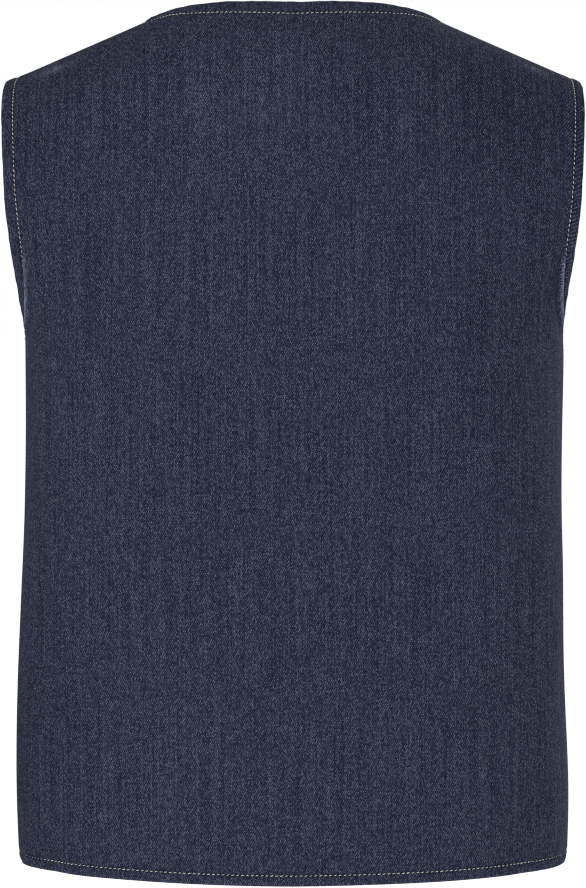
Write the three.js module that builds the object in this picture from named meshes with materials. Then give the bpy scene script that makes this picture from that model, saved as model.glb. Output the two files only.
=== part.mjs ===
// A sleeveless denim vest as it sits when worn, with nobody in it: a back, two fronts that lap at the
// centre, and a row of shank buttons. Millimetres, +Z up. The front faces -Y, so the wearer's left is +X.
// The origin is midway between the two points where the neck edge meets the shoulder seams.
import * as THREE from "three";

// Driving sizes
const CLOTH = 1.3; // one layer of denim
const TURNED = 2.4; // the doubled cloth of a hem, a facing or a seam allowance
const HEM_BAND = 7; // from an edge to its topstitching
const SEAM_GAP = 0.4; // between two panels along a seam
const NECK_HALF_WIDTH = 98;
const SHOULDER_TIP = new THREE.Vector3(188, -6, -38.7);
const SHOULDER_SEAM_Y = -4; // at the neck end
const UNDERARM_Z = -200;
const BUTTON_STAND = 16; // how far each front runs past the centre line
const FACING_WIDTH = 40; // the doubled strip behind the buttons
const LAP_RISE = 1.4; // how far the upper front is lifted, and the lower one sunk, where they lap
const LAP_FADE = 30; // the width over which they come back to the body's surface
const TUBE_LENGTH = 320; // about how far the body's tube runs up from the hem
const YOKE_LENGTH = 110; // about how far it is from there to mid-armhole, and again to the top edge
const HALF_ROUND = 232; // about how far it is round from the centre line to the side seam
const BUTTONS = { count: 6, top: -110, bottom: -520, clearance: 0.35 };
const BUTTON = { cap: 8.5, rim: 1.1, shank: 4.2, neck: 1.6, height: 4.6, crown: { at: 4.7, drop: 0.25 } };

// The body's level sections: its half width, and how far the back and the front stand from the side
const LEVELS = [
  { z: -575, half: 179.0, back: 100.0, front: 112.0 },
  { z: -545, half: 180.6, back: 99.5, front: 112.0 },
  { z: -500, half: 181.6, back: 98.5, front: 112.0 },
  { z: -440, half: 180.9, back: 97.5, front: 113.0 },
  { z: -380, half: 179.0, back: 97.5, front: 115.5 },
  { z: -320, half: 176.8, back: 99.0, front: 118.5 },
  { z: -260, half: 176.0, back: 101.5, front: 121.0 },
  { z: -200, half: 176.8, back: 104.5, front: 116.0 },
];

// What differs between the back and the front. side is the way the cloth faces along Y; square is the
// exponent of the section's superellipse; shelf is the height where the body's tube ends at the centre.
// middle is the row halfway up the armhole, and lean its slope along Y at the centre. Each column then
// arches over to a ridge line, and the neck is cut out of those arches: the back's seen from above, to its
// reach from the origin, and the front's seen from ahead, to its drop. peak is how high the ridge would
// have been at the centre.
const BACK = {
  side: 1,
  depth: "back",
  square: 2.5,
  hem: { centre: -560.5, side: -550.5 },
  shelf: -240,
  middle: { centreZ: -112, edgeZ: -112, centre: 105, edge: 52, edgeX: 188.2, lean: -0.1 },
  neck: { reach: 66, peak: 36.8 },
};
const FRONT = {
  side: -1,
  depth: "front",
  square: 2.3,
  hem: { centre: -562, side: -550.5 },
  shelf: -250,
  middle: { centreZ: -168, edgeZ: -122, centre: 105, edge: 50, edgeX: 187, lean: -0.3 },
  neck: { drop: 92, peak: 30 },
};

// Soft folds: each is a ridge (or a trough, where high is negative) that runs up the cloth along a line
// from at (mm round from the centre, towards the wearer's left) at its foot to lean further on at its head.
// crest is the share of the way up where it stands highest, and it fades to nothing at both ends.
const BACK_FOLDS = [
  { at: -222, lean: 0, wide: 34, high: -2.0, foot: -520, head: -335, crest: 0.5 },
  { at: -228, lean: 0, wide: 34, high: 2.0, foot: -345, head: -180, crest: 0.75 },
  { at: -158, lean: 4, wide: 16, high: -2.0, foot: -575, head: -400, crest: 0.001 },
  { at: -96, lean: -16, wide: 30, high: 1.6, foot: -575, head: -300, crest: 0.001 },
  { at: 30, lean: 10, wide: 34, high: 1.4, foot: -575, head: -260, crest: 0.001 },
  { at: 112, lean: 8, wide: 28, high: -1.6, foot: -575, head: -330, crest: 0.001 },
  { at: 168, lean: -4, wide: 18, high: -2.4, foot: -575, head: -420, crest: 0.001 },
  { at: 202, lean: 4, wide: 18, high: 2.2, foot: -600, head: -300, crest: 0.4 },
];
const FRONT_FOLDS = [
  { at: -230, lean: 0, wide: 34, high: -2.0, foot: -520, head: -335, crest: 0.5 },
  { at: -236, lean: 0, wide: 34, high: 2.0, foot: -345, head: -180, crest: 0.75 },
  { at: -178, lean: 18, wide: 24, high: 3.0, foot: -575, head: -300, crest: 0.001 },
  { at: -118, lean: 22, wide: 22, high: -3.0, foot: -575, head: -330, crest: 0.001 },
  { at: -66, lean: -6, wide: 22, high: 2.6, foot: -575, head: -270, crest: 0.001 },
  { at: 60, lean: 10, wide: 24, high: 2.8, foot: -575, head: -280, crest: 0.001 },
  { at: 112, lean: -24, wide: 20, high: -3.2, foot: -575, head: -310, crest: 0.001 },
  { at: 172, lean: -14, wide: 26, high: 2.6, foot: -575, head: -320, crest: 0.001 },
];

// Beside the lower half of each armhole the cloth sinks in, and its edge stands out again. at and spread are
// shares of the way up from the underarm to the middle of the armhole.
const ARMHOLE_DIP = { deep: 4.6, fromEdge: 16, wide: 12, at: 0.5, spread: 0.36 };

const DENIM = { color: 0x32364a, roughness: 0.9, metalness: 0 };
const BRASS = { color: 0x8f7447, roughness: 0.42, metalness: 1 };

const mix = (a, b, t) => a + (b - a) * t;
const smooth = (t) => {
  const k = Math.min(1, Math.max(0, t));
  return k * k * (3 - 2 * k);
};

// A row of LEVELS at any height, on a smooth curve through the rows
function levelAt(z) {
  const last = LEVELS.length - 1;
  let i = LEVELS.findIndex((row) => row.z > z) - 1;
  if (i < 0) i = z < LEVELS[0].z ? 0 : last - 1;
  const row = (k) => LEVELS[Math.min(last, Math.max(0, k))];
  const [before, low, high, after] = [row(i - 1), row(i), row(i + 1), row(i + 2)];
  const span = high.z - low.z;
  const t = (z - low.z) / span;
  const size = {};
  for (const key of ["half", "back", "front"]) {
    const leave = (span * (high[key] - before[key])) / (high.z - before.z);
    const arrive = (span * (after[key] - low[key])) / (after.z - low.z);
    size[key] = hermite(low[key], leave, high[key], arrive, t);
  }
  return size;
}

function hermite(from, leave, to, arrive, t) {
  const [t2, t3] = [t * t, t * t * t];
  const places = from * (2 * t3 - 3 * t2 + 1) + to * (3 * t2 - 2 * t3);
  return places + leave * (t3 - 2 * t2 + t) + arrive * (t3 - t2);
}

// A quarter of the body's section at a height, from the centre line to the side, with the length so far
// at each of its points
const QUARTER_STEPS = 60;
const quarters = new Map();
function quarterAt(face, z) {
  const key = face.depth + z.toFixed(2);
  if (quarters.has(key)) return quarters.get(key);
  const level = levelAt(z);
  const points = [];
  let length = 0;
  for (let i = 0; i <= QUARTER_STEPS; i++) {
    const turn = (i / QUARTER_STEPS) * (Math.PI / 2);
    const x = level.half * Math.sin(turn) ** (2 / face.square);
    const y = face.side * level[face.depth] * Math.cos(turn) ** (2 / face.square);
    if (i) length += Math.hypot(x - points[i - 1].x, y - points[i - 1].y);
    points.push({ x, y, length });
  }
  quarters.set(key, points);
  return points;
}

// The point a share u of the way round that quarter, and its distance from the side
function tubePoint(face, u, z) {
  const points = quarterAt(face, z);
  const total = points[QUARTER_STEPS].length;
  const wanted = Math.min(1, Math.max(0, u)) * total;
  let i = points.findIndex((point) => point.length >= wanted);
  if (i < 1) i = 1;
  const [a, b] = [points[i - 1], points[i]];
  const t = (wanted - a.length) / (b.length - a.length);
  return { place: new THREE.Vector3(mix(a.x, b.x, t), mix(a.y, b.y, t), z), fromSide: total - wanted };
}

// How far out across the panel the column u stands, as a share of its half width
const OUT_PULL = 0.4; // how far the columns keep the places that the body's section gives them
function outShare(face, u) {
  return mix(u, tubePoint(face, u, face.shelf).place.x / levelAt(face.shelf).half, OUT_PULL);
}

// The ridge that the column u arches over to: the shoulder seam for u from NECK_SHARE, and above the neck's
// opening inside it
const NECK_SHARE = 0.5;
const SHOULDER_PULL = 0.9; // below 1, the columns crowd towards the shoulder's tip
function ridgePoint(face, u) {
  if (u < NECK_SHARE) {
    const out = outShare(face, u) / outShare(face, NECK_SHARE);
    return new THREE.Vector3(NECK_HALF_WIDTH * out, SHOULDER_SEAM_Y, face.neck.peak * (1 - out * out));
  }
  const out = ((u - NECK_SHARE) / (1 - NECK_SHARE)) ** SHOULDER_PULL;
  return new THREE.Vector3(NECK_HALF_WIDTH, SHOULDER_SEAM_Y, 0).lerp(SHOULDER_TIP, out);
}

// More than 0 where a place is inside the neck's opening, and less on the cloth
const NECK_ROUND = { back: 1.9, front: 2.4 }; // the exponents of its two curves
function insideNeck(face, place) {
  const { reach, drop } = face.neck;
  const out = Math.min(1, place.x / NECK_HALF_WIDTH);
  if (face === FRONT) return place.z + drop * (1 - out ** NECK_ROUND.front);
  const edge = (1 - out ** NECK_ROUND.back) ** (1 / NECK_ROUND.back);
  return edge - (place.y - SHOULDER_SEAM_Y) / (reach - SHOULDER_SEAM_Y);
}

// One column of a half panel: the points it passes and the directions it takes there
const CORNER = 28; // how far from the side the rows bend up to the underarm
const HEM_RISE = 1.6; // the power by which the hem climbs from the centre to the side
const LEVEL_OUT = 0.7; // the column from which the middle row keeps its edge's height
const SPREAD = 0.04; // how much the armhole's edge still leans out at its middle
const TIP_TUCK = { from: 0.9, slope: 0.12 }; // the arches next to the shoulder's tip draw in
const SPAN_REACH = 1.12; // the tangent of the span beside the armhole, as a share of its chord
const ARCH_REACH = 1.3; // that of the arch over the shoulder
const columnsMade = new Map();
function columnAt(face, u) {
  const key = face.depth + u;
  if (!columnsMade.has(key)) columnsMade.set(key, makeColumn(face, u));
  return columnsMade.get(key);
}

function makeColumn(face, u) {
  const hemZ = mix(face.hem.centre, face.hem.side, u ** HEM_RISE);
  const nearSide = Math.exp(-tubePoint(face, u, face.shelf).fromSide / CORNER);
  const shelfZ = mix(face.shelf, UNDERARM_Z, nearSide);
  const shelf = tubePoint(face, u, shelfZ).place;
  const below = tubePoint(face, u, shelfZ - 10).place;
  const inward = tubePoint(face, u - 0.02, shelfZ).place.sub(shelf).normalize();
  const up = shelf.clone().sub(below).normalize();
  const leave = up.lerp(inward, nearSide).normalize();

  const across = outShare(face, u);
  const { middle: m, side } = face;
  const middle = new THREE.Vector3(
    m.edgeX * across,
    side * mix(m.edge, m.centre, 1 - across ** 2),
    mix(m.centreZ, m.edgeZ, smooth(u / LEVEL_OUT)),
  );
  const pass = new THREE.Vector3(SPREAD * u, side * m.lean * (1 - u), 1).normalize();

  const top = ridgePoint(face, u);
  top.y += (side * SEAM_GAP) / 2;
  const tuck = TIP_TUCK.slope * smooth((u - TIP_TUCK.from) / (1 - TIP_TUCK.from));
  const arrive = new THREE.Vector3(-tuck, -side, 0).normalize();
  const column = { hemZ, shelfZ, shelf, leave, middle, pass, top, arrive, end: 1 };
  if (u < NECK_SHARE) {
    let [low, high] = [0, 1];
    for (let i = 0; i < 24; i++) {
      const t = (low + high) / 2;
      if (insideNeck(face, archPoint(column, t)) < 0) low = t;
      else high = t;
    }
    column.end = low;
  }
  return column;
}

// A place on a column's arch, t of the way from the middle of the armhole to the ridge
const archPoint = (column, t) => span(column.middle, column.pass, column.top, column.arrive, ARCH_REACH, t);

// The place on a panel's smooth outer surface. v is 0 at the hem, 1 where the tube ends, 2 at the
// middle of the armhole, and 3 at the top edge.
function surfacePoint(face, u, v) {
  const column = columnAt(face, Math.abs(u));
  let place;
  if (v <= 1) place = tubePoint(face, Math.abs(u), mix(column.hemZ, column.shelfZ, v)).place;
  else if (v <= 2) place = span(column.shelf, column.leave, column.middle, column.pass, SPAN_REACH, v - 1);
  else place = archPoint(column, (v - 2) * column.end);
  if (u < 0) place.x = -place.x;
  return place;
}

function span(from, leave, to, arrive, reach, t) {
  const length = reach * from.distanceTo(to);
  const at = (axis) => hermite(from[axis], leave[axis] * length, to[axis], arrive[axis] * length, t);
  return new THREE.Vector3(at("x"), at("y"), at("z"));
}

// The height of the folds at a point of the cloth, round mm from the centre line
function foldHeight(folds, round, z) {
  let height = 0;
  for (const fold of folds) {
    const rise = (z - fold.foot) / (fold.head - fold.foot);
    if (rise < 0 || rise > 1) continue;
    const off = (round - fold.at - fold.lean * rise) / fold.wide;
    const swell = smooth(Math.min(rise / fold.crest, (1 - rise) / (1 - fold.crest)));
    height += fold.high * swell * Math.exp(-off * off);
  }
  return height;
}

// How far the cloth sinks in beside the armhole
function armholeDip(u, v) {
  const rise = v > 1 ? v - 1 : ((v - 1) * TUBE_LENGTH) / YOKE_LENGTH;
  const along = (rise - ARMHOLE_DIP.at) / ARMHOLE_DIP.spread;
  const across = ((1 - Math.abs(u)) * HALF_ROUND - ARMHOLE_DIP.fromEdge) / ARMHOLE_DIP.wide;
  return ARMHOLE_DIP.deep * Math.exp(-along * along - across * across);
}

const NUDGE = 0.004; // the step in u and v by which a slope is taken

// A panel's outer surface as rows of places, with its outward normals and the cloth's thickness there.
// lift raises a point of the panel off the surface, and thick gives its wall.
function panelGrid(face, columns, rows, folds, lift, thick) {
  const point = (u, v) => surfacePoint(face, u, v);
  return rows.map((v) =>
    columns.map((u) => {
      const place = point(u, v);
      const along = point(Math.min(1, u + NUDGE), v).sub(point(Math.max(-1, u - NUDGE), v));
      const up = point(u, Math.min(3, v + NUDGE)).sub(point(u, Math.max(0, v - NUDGE)));
      const normal = along.cross(up).normalize().multiplyScalar(-face.side);
      const round = u * quarterAt(face, Math.min(place.z, face.shelf))[QUARTER_STEPS].length;
      place.addScaledVector(normal, foldHeight(folds, round, place.z) - armholeDip(u, v) + lift(place.x));
      return { place, normal, thick: thick(u, v) };
    }),
  );
}

// A closed wall between a grid of places and the same grid moved inwards by its thickness
function wallGeometry(grid, flip) {
  const [rows, columns] = [grid.length, grid[0].length];
  const points = [];
  for (const layer of [0, 1]) {
    for (const row of grid) {
      for (const { place, normal, thick } of row) {
        points.push(...place.clone().addScaledVector(normal, -layer * thick).toArray());
      }
    }
  }
  const at = (layer, i, j) => (layer * rows + i) * columns + j;
  const faces = [];
  const quad = (a, b, c, d) => faces.push(...(flip ? [a, c, b, a, d, c] : [a, b, c, a, c, d]));
  const apart = (i, j, k, l) => grid[i][j].place.distanceTo(grid[k][l].place);
  for (let i = 0; i < rows - 1; i++) {
    for (let j = 0; j < columns - 1; j++) {
      // Each cell is split along its shorter diagonal
      const outer = [at(0, i, j), at(0, i, j + 1), at(0, i + 1, j + 1), at(0, i + 1, j)];
      const inner = [at(1, i, j), at(1, i + 1, j), at(1, i + 1, j + 1), at(1, i, j + 1)];
      if (apart(i, j, i + 1, j + 1) > apart(i, j + 1, i + 1, j)) {
        outer.push(outer.shift());
        inner.push(inner.shift());
      }
      quad(...outer);
      quad(...inner);
    }
  }
  for (let j = 0; j < columns - 1; j++) {
    quad(at(1, 0, j), at(1, 0, j + 1), at(0, 0, j + 1), at(0, 0, j));
    quad(at(0, rows - 1, j), at(0, rows - 1, j + 1), at(1, rows - 1, j + 1), at(1, rows - 1, j));
  }
  for (let i = 0; i < rows - 1; i++) {
    quad(at(0, i, 0), at(0, i + 1, 0), at(1, i + 1, 0), at(1, i, 0));
    quad(at(1, i, columns - 1), at(1, i + 1, columns - 1), at(0, i + 1, columns - 1), at(0, i, columns - 1));
  }
  const geometry = new THREE.BufferGeometry();
  geometry.setAttribute("position", new THREE.Float32BufferAttribute(points, 3));
  geometry.setIndex(faces);
  geometry.computeVertexNormals();
  return geometry;
}

// Shares of the way along a length, close together across the band at each end that is asked for
function spaced(length, steps, bandAtStart, bandAtEnd) {
  const start = bandAtStart ? [0, HEM_BAND, HEM_BAND + 2] : [0];
  const end = bandAtEnd ? [length - HEM_BAND - 2, length - HEM_BAND, length] : [length];
  const [low, high] = [start.at(-1), end[0]];
  const between = [];
  for (let i = 1; i < steps; i++) between.push(mix(low, high, i / steps));
  return [...start, ...between, ...end].map((along) => along / length);
}

const ROWS = [
  ...spaced(TUBE_LENGTH, 12, true, false),
  ...spaced(YOKE_LENGTH, 8, false, false).slice(1).map((t) => 1 + t),
  ...spaced(YOKE_LENGTH, 8, false, true).slice(1).map((t) => 2 + t),
];
const SIDE_LIMIT = 1 - SEAM_GAP / 2 / HALF_ROUND; // half the gap at the side seam
const NECK_COLUMNS = [0, 0.075, 0.15, 0.22, 0.28, 0.34, 0.39, 0.43, 0.46, 0.483, 0.5];
const SHOULDER_COLUMNS = spaced(HALF_ROUND / 2, 7, false, true)
  .slice(1)
  .map((t) => mix(NECK_SHARE, SIDE_LIMIT, t));
const HALF_COLUMNS = [...NECK_COLUMNS, ...SHOULDER_COLUMNS];

function bandedThickness(u, v) {
  const fromSide = (1 - Math.abs(u)) * HALF_ROUND;
  const fromHem = v * TUBE_LENGTH;
  const fromTop = (3 - v) * YOKE_LENGTH;
  return Math.min(fromSide, fromHem, fromTop) < HEM_BAND + 1 ? TURNED : CLOTH;
}

const denim = new THREE.MeshStandardMaterial(DENIM);
const brass = new THREE.MeshStandardMaterial(BRASS);

function makeMesh(name, geometry, material) {
  const mesh = new THREE.Mesh(geometry, material);
  mesh.name = name;
  return mesh;
}

function makeBack() {
  const columns = [...HALF_COLUMNS.slice(1).reverse().map((u) => -u), ...HALF_COLUMNS];
  const grid = panelGrid(BACK, columns, ROWS, BACK_FOLDS, () => 0, bandedThickness);
  return makeMesh("back", wallGeometry(grid, true), denim);
}

// Each front runs from its side seam to BUTTON_STAND past the centre. The wearer's right front lies on top.
function makeFront(name, hand) {
  const stand = BUTTON_STAND / HALF_ROUND;
  const facing = (FACING_WIDTH - BUTTON_STAND) / HALF_ROUND;
  const pastFacing = facing + 2 / HALF_ROUND;
  const columns = [-stand, -stand / 2, 0, stand / 2, stand, facing, pastFacing];
  columns.push(...HALF_COLUMNS.filter((u) => u > pastFacing + 4 / HALF_ROUND));
  const onTop = hand < 0;
  const lift = (x) => {
    const past = (hand * x - BUTTON_STAND) / LAP_FADE;
    return (onTop ? LAP_RISE : -LAP_RISE) * (1 - smooth(past));
  };
  const thick = (u, v) => (hand * u <= facing ? TURNED : bandedThickness(u, v));
  const signed = hand > 0 ? columns : columns.map((u) => -u).reverse();
  const grid = panelGrid(FRONT, signed, ROWS, FRONT_FOLDS, lift, thick);
  return makeMesh(name, wallGeometry(grid, false), denim);
}

const RIM_STEPS = 4;
const BUTTON_SIDES = 18;

// A shank button: a domed cap with a rolled rim on a short post, turned about its own axis
function buttonGeometry() {
  const { cap, rim, shank, neck, height, crown } = BUTTON;
  const profile = [new THREE.Vector2(0, 0), new THREE.Vector2(shank, 0), new THREE.Vector2(shank, neck)];
  for (let i = 0; i <= RIM_STEPS; i++) {
    const turn = (i / RIM_STEPS - 0.5) * Math.PI;
    profile.push(new THREE.Vector2(cap - rim + rim * Math.cos(turn), neck + rim + rim * Math.sin(turn)));
  }
  profile.push(new THREE.Vector2(crown.at, height - crown.drop), new THREE.Vector2(0, height));
  return new THREE.LatheGeometry(profile, BUTTON_SIDES);
}

function makeButton(index) {
  const { count, top, bottom } = BUTTONS;
  const z = mix(top, bottom, index / (count - 1));
  const place = onFrontCentre(z);
  const slope = onFrontCentre(z + BUTTON.shank).sub(onFrontCentre(z - BUTTON.shank)).normalize();
  const outward = new THREE.Vector3(1, 0, 0).cross(slope).normalize();
  const button = makeMesh(`button_${index + 1}`, buttonGeometry(), brass);
  button.quaternion.setFromUnitVectors(new THREE.Vector3(0, 1, 0), outward);
  button.position.copy(place).addScaledVector(outward, LAP_RISE + BUTTONS.clearance);
  return button;
}

// The front's surface on the centre line at a height
function onFrontCentre(z) {
  let [low, high] = [0, 3];
  for (let i = 0; i < 30; i++) {
    const v = (low + high) / 2;
    if (surfacePoint(FRONT, 0, v).z < z) low = v;
    else high = v;
  }
  const place = surfacePoint(FRONT, 0, low);
  place.y -= foldHeight(FRONT_FOLDS, 0, place.z);
  return place;
}

const vest = new THREE.Group();
vest.name = "vest";
vest.add(makeBack(), makeFront("front_left", 1), makeFront("front_right", -1));
for (let i = 0; i < BUTTONS.count; i++) vest.add(makeButton(i));

export default vest;
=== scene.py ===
import math

import bpy
import numpy as np
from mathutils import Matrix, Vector


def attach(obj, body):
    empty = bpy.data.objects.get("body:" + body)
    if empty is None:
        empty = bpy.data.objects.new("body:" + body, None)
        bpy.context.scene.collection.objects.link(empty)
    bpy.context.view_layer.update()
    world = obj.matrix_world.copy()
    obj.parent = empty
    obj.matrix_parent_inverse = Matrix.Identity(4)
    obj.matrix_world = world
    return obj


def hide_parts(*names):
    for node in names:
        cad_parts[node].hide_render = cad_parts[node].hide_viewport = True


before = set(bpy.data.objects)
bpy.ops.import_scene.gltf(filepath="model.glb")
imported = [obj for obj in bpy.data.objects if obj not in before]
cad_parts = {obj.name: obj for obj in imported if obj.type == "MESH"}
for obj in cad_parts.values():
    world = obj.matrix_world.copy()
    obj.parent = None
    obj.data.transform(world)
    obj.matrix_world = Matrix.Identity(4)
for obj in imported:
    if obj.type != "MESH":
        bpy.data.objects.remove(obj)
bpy.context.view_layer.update()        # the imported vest: a back, two fronts and six buttons

# Shapes are worked out in millimetres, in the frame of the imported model, and meshes are made in metres.
# +Z is up and the front faces -Y, so the wearer's left is +X.
mm = 0.001


def mix(a, b, t):
    return a + (b - a) * t


def smooth(t):
    k = np.clip(t, 0, 1)
    return k * k * (3 - 2 * k)


def eased(value, low, high):    # 0 at low to 1 at high, smoothly
    return smooth((value - low) / (high - low))


def bump(t):    # 1 at t = 0, and next to nothing past 2
    return np.exp(-t * t)


def hermite(start, leave, end, arrive, t):
    t2, t3 = t * t, t * t * t
    places = start * (2 * t3 - 3 * t2 + 1) + end * (3 * t2 - 2 * t3)
    return places + leave * (t3 - 2 * t2 + t) + arrive * (t3 - t2)


def unit(v):
    return v / np.maximum(np.linalg.norm(v, axis=-1, keepdims=True), 1e-9)


def srgb(r, g, b):    # a colour of the finish as the eye reads it, 0 to 255, turned into light
    channels = [c / 255 for c in (r, g, b)]
    return tuple(c / 12.92 if c <= 0.04045 else ((c + 0.055) / 1.055) ** 2.4 for c in channels) + (1.0,)


# How the vest is cut and stands
vest = {
    "cloth": 1.3,              # one layer of denim
    "turned": 2.4,             # the doubled cloth of a hem, a facing or a seam allowance
    "seamGap": 0.02,
    "neckHalfWidth": 98,
    "shoulderTip": (188, -6, -38.7),
    "shoulderSeamY": -4,
    "underarmZ": -200,
    "buttonStand": 16,         # how far each front runs past the centre line
    "facingWidth": 40,
    "lapRise": 1.4,
    "lapFade": 30,
    "tube": 320,               # about how far the body's tube runs up from the hem
    "yoke": 110,               # about how far it is from there to mid-armhole, and again to the top edge
    "round": 232,              # about how far it is round from the centre line to the side seam
    "neckShare": 0.5,          # the column that ends where the neck meets the shoulder seam
    "shoulderPull": 0.9,       # under 1, the columns' tops move towards the shoulder's tip
    "outPull": 0.4,            # 0 spaces the columns evenly across, 1 as they stand on the tube
    "corner": 28,              # about how near the side seam the tube's top rises to the underarm
    "hemRise": 1.6,            # how late the hem rises from its centre to the side seam
    "levelOut": 0.7,           # the column by which the middle row is as high as at the armhole
    "spread": 0.04,            # how much the columns spread on their way up there
    "tipTuck": (0.9, 0.12),    # from this column on, the cloth heads in by up to this slope at its top
    # how firmly a column keeps the ways it heads: up to the middle row, and over the shoulder
    "lookBelow": 10,           # the cloth's way up where the tube ends is taken over this height
    "lookIn": 0.02,            # and its way in over this share of the columns
    "spanReach": 1.12,
    "archReach": 1.3,
    "weaveRows": (1.6, 2.4),   # over these rows the weave comes to count less of the cloth's depth
    "weaveDepth": 0.5,         # the share that it counts from there to the shoulders
    "stitchTurn": (0.25, 0.5),    # over these columns the neck's stitching comes nearer to its edge
    "armholeDip": {"deep": 4.6, "fromEdge": 16, "wide": 12, "at": 0.5, "spread": 0.36},
}

# The body's level sections: height, half width, and how far the back and the front stand from the side
levels = {
    "z": (-575, -545, -500, -440, -380, -320, -260, -200),
    "half": (179.0, 180.6, 181.6, 180.9, 179.0, 176.8, 176.0, 176.8),
    "back": (100.0, 99.5, 98.5, 97.5, 97.5, 99.0, 101.5, 104.5),
    "front": (112.0, 112.0, 112.0, 113.0, 115.5, 118.5, 121.0, 116.0),
}

# How finely the level sections are worked out: heights in mm, steps of turning, and shares of the way round
sections = {"low": -590.0, "high": -185.0, "turns": 361, "shares": 301}

halvings = 30    # enough to find a place on the cloth to well under a thousandth of a millimetre

# Soft folds, as (at, lean, wide, high, foot, head, crest): from at, mm round from the centre towards the
# wearer's left, at its foot, to lean further on at its head, highest a share crest of the way up
backFolds = (
    (-222, 0, 34, -2.0, -520, -335, 0.5),
    (-228, 0, 34, 2.0, -345, -180, 0.75),
    (-158, 4, 16, -2.0, -575, -400, 0.001),
    (-96, -16, 30, 1.6, -575, -300, 0.001),
    (30, 10, 34, 1.4, -575, -260, 0.001),
    (112, 8, 28, -1.6, -575, -330, 0.001),
    (168, -4, 18, -2.4, -575, -420, 0.001),
    (202, 4, 18, 2.2, -600, -300, 0.4),
)
frontFolds = (
    (-230, 0, 34, -2.0, -520, -335, 0.5),
    (-236, 0, 34, 2.0, -345, -180, 0.75),
    (-178, 18, 24, 3.0, -575, -300, 0.001),
    (-118, 22, 22, -3.0, -575, -330, 0.001),
    (-66, -6, 22, 2.6, -575, -270, 0.001),
    (60, 10, 24, 2.8, -575, -280, 0.001),
    (112, -24, 20, -3.2, -575, -310, 0.001),
    (172, -14, 26, 2.6, -575, -320, 0.001),
)

creaseBow = 0.12    # how far a crease bends, as a share of its length

# Finer creases of the worn cloth, as (from round, from z, to round, to z, wide, high)
backCreases = (
    (150, -150, 208, -262, 9, -0.7),
    (132, -186, 190, -300, 12, 0.6),
    (-146, -140, -206, -250, 10, -0.7),
    (-120, -206, -196, -318, 13, 0.55),
    (60, -70, 84, -160, 16, -0.5),
    (-64, -60, -92, -170, 18, -0.5),
    (184, -380, 150, -470, 11, -0.6),
    (-206, -400, -176, -520, 9, -0.7),
    (-30, -420, -14, -540, 20, 0.5),
    (92, -300, 80, -430, 22, -0.5),
    (206, -470, 196, -545, 7, -0.8),
    (208, -300, 214, -640, 20, -1.1),
    (172, -420, 164, -600, 12, -1.3),
)
frontCreases = (
    (140, -150, 206, -268, 9, -1.2),
    (122, -190, 186, -312, 12, 1.0),
    (-138, -146, -206, -256, 10, -1.2),
    (-116, -200, -190, -322, 13, 1.0),
    (70, -120, 112, -196, 14, -0.9),
    (-66, -128, -104, -206, 15, -0.9),
    (196, -370, 150, -452, 11, -1.0),
    (-204, -390, -166, -492, 10, -1.0),
    (44, -300, 92, -392, 15, 0.8),
    (-44, -330, -96, -436, 16, -0.8),
)

back = {
    "side": 1, "depth": "back", "square": 2.5,
    "hemCentre": -560.5, "hemSide": -550.5, "shelf": -240,
    "centreZ": -112, "edgeZ": -112, "centre": 105, "edge": 52, "edgeX": 188.2, "lean": -0.1,
    "reach": 66, "peak": 36.8, "neckRound": 1.9, "neckStitch": (10.8, 7.0),
    "folds": backFolds, "creases": backCreases,
}
front = {
    "side": -1, "depth": "front", "square": 2.3,
    "hemCentre": -562, "hemSide": -550.5, "shelf": -250,
    "centreZ": -168, "edgeZ": -122, "centre": 105, "edge": 50, "edgeX": 187, "lean": -0.3,
    "drop": 92, "peak": 30, "neckRound": 2.4, "neckStitch": (7.6, 7.0),
    "folds": frontFolds, "creases": frontCreases,
}

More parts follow.
